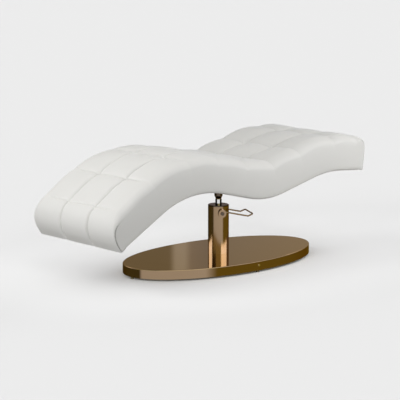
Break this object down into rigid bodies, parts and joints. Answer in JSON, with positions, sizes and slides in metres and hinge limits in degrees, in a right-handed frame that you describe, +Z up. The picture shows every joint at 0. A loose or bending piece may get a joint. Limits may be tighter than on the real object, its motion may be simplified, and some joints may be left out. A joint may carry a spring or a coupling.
{
  "type": "curved beauty bed",
  "caption": "Wave-shaped bed with a quilted leatherette cover on a foot-pumped, swivelling column with an oval bronze base; a wishbone foot lever lifts it.",
  "frame": {"origin": "on the floor, at the middle of the bed's length and width", "axes": "+X along the bed from the low foot end to the head end, +Z up, +Y to the left of someone facing +X"},
  "size_m": [1.7769, 0.66, 0.6664],
  "materials": {
    "upholstery": "satin leatherette sewn over foam",
    "underside": "leatherette stretched over plywood",
    "foam": "firm polyurethane foam",
    "plywood": "birch plywood, sawn edges",
    "timber": "planed softwood",
    "bronze": "champagne bronze plated steel, finely brushed",
    "dark_bronze": "black bronze",
    "bright_steel": "bright plated steel",
    "chrome": "hard chrome, polished",
    "steel": "plain steel",
    "cast_head": "cast iron",
    "bearing_bronze": "sintered bronze",
    "seal_rubber": "nitrile rubber"
  },
  "bodies": {
    "base": {"base_cover": "bronze", "base_plate": "steel", "foot_glides": "dark_bronze", "glide_studs": "steel", "cover_brackets": "steel", "cover_screws": "bright_steel", "pump_flange": "steel", "flange_bolts": "steel", "cylinder_end": "steel", "reservoir_tube": "steel", "pressure_tube": "steel", "pump_head": "cast_head", "guide_bush": "bearing_bronze", "rod_seal": "seal_rubber", "column_sleeve": "bronze", "column_cap": "dark_bronze", "shaft_bush": "bearing_bronze", "rear_pivot_pin": "bright_steel", "rear_pin_cap": "bronze", "plunger_spring": "steel"},
    "lever": {"foot_lever": "bronze", "front_hub": "bronze", "rear_hub": "bronze", "rocker_shaft": "bright_steel", "rocker_cam": "steel", "front_hub_screw": "bright_steel"},
    "plunger": {"pump_plunger": "steel"},
    "ram": {"ram": "chrome", "piston": "steel", "piston_seal": "seal_rubber", "swivel_bush": "bearing_bronze", "thrust_washer": "bearing_bronze"},
    "bed": {"swivel_post": "dark_bronze", "mounting_plate": "steel", "mounting_board": "plywood", "mounting_bolts": "steel", "t_nuts": "steel", "mounting_cleats": "timber", "outer_rib_left": "plywood", "inner_rib_left": "plywood", "inner_rib_right": "plywood", "outer_rib_right": "plywood", "bottom_panel": "underside", "top_deck": "plywood", "foot_end_board": "timber", "head_end_board": "timber", "cross_rails": "timber", "foam_layer": "foam", "side_pad_left": "upholstery", "side_pad_right": "upholstery", "quilted_cover": "upholstery"}
  },
  "joints": [
    {"name": "ram_lift", "type": "slide", "parent": "base", "child": "ram", "axis": [0, 0, 1], "range_m": [0, 0.15]},
    {"name": "bed_swivel", "type": "hinge", "parent": "ram", "child": "bed", "pos_m": [0.1025, 0, 0.352], "axis": [0, 0, 1], "continuous": true},
    {"name": "lever_pivot", "type": "hinge", "parent": "base", "child": "lever", "pos_m": [0.1025, 0, 0.282], "axis": [0.4384, 0.8988, 0], "range_deg": [0, 22], "stiffness_Nm_per_rad": 1.5, "springref_deg": -28.65},
    {"name": "plunger_slide", "type": "slide", "parent": "base", "child": "plunger", "axis": [0, 0, -1], "range_m": [0, 0.0075], "deforming": ["plunger_spring"]}
  ],
  "couplings": [
    {"joint": "plunger_slide", "follows": "lever_pivot", "m_per_rad": 0.018}
  ]
}
